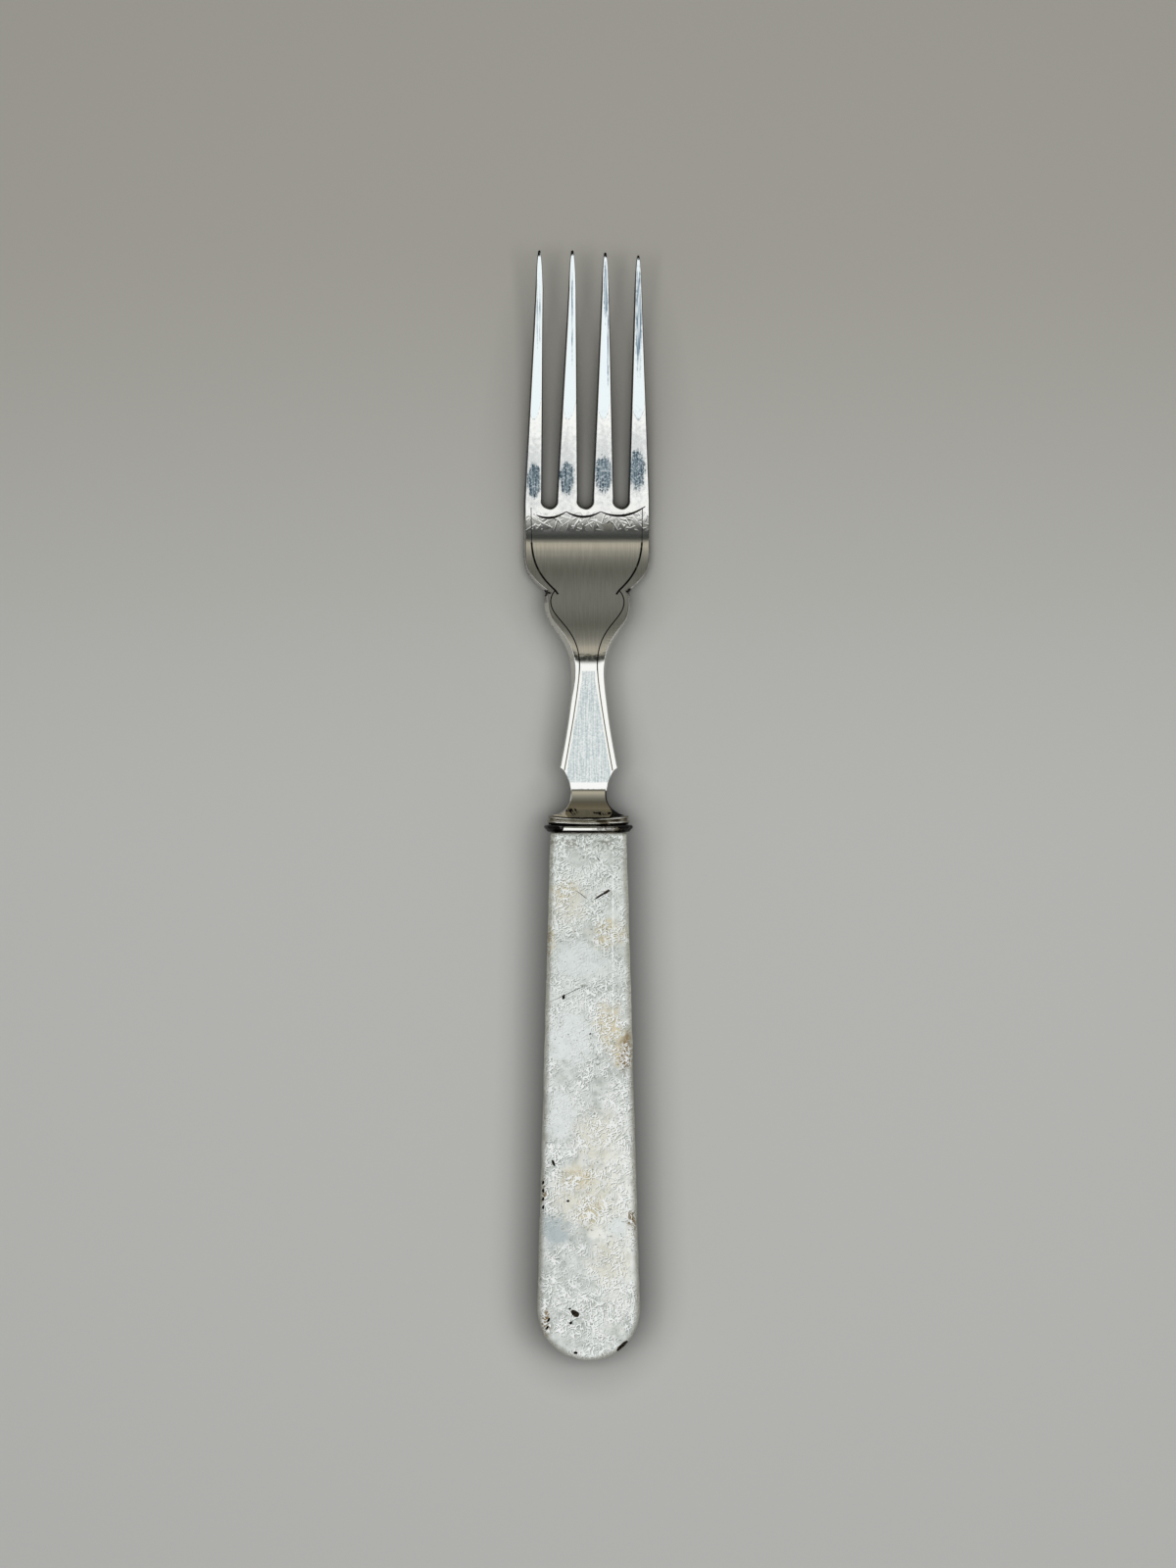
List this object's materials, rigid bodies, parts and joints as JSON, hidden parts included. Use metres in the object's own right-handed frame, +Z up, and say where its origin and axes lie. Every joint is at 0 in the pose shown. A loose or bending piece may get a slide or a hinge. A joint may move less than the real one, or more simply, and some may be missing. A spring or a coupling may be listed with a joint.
{
  "type": "table fork",
  "caption": "Table fork with a tined metal head, waisted shank and oval bolster, set by a cemented tang in a tapering stone handle with a round butt.",
  "frame": {"origin": "under the middle of the fork's length and width, on the surface that it rests on", "axes": "+Z up with the fork lying on its back, +Y along the fork towards the tips, X across it"},
  "size_m": [0.022, 0.19, 0.012],
  "materials": {
    "silver": "satin",
    "tarnished_silver": "satin",
    "steel": "satin",
    "cement": "matte",
    "stone": "satin"
  },
  "bodies": {
    "root": {"fork_head": "silver", "bolster_collar": "silver", "bead_ring": "tarnished_silver", "seat_plate": "tarnished_silver", "tang": "steel", "tang_cement": "cement", "stone_handle": "stone"}
  },
  "joints": []
}
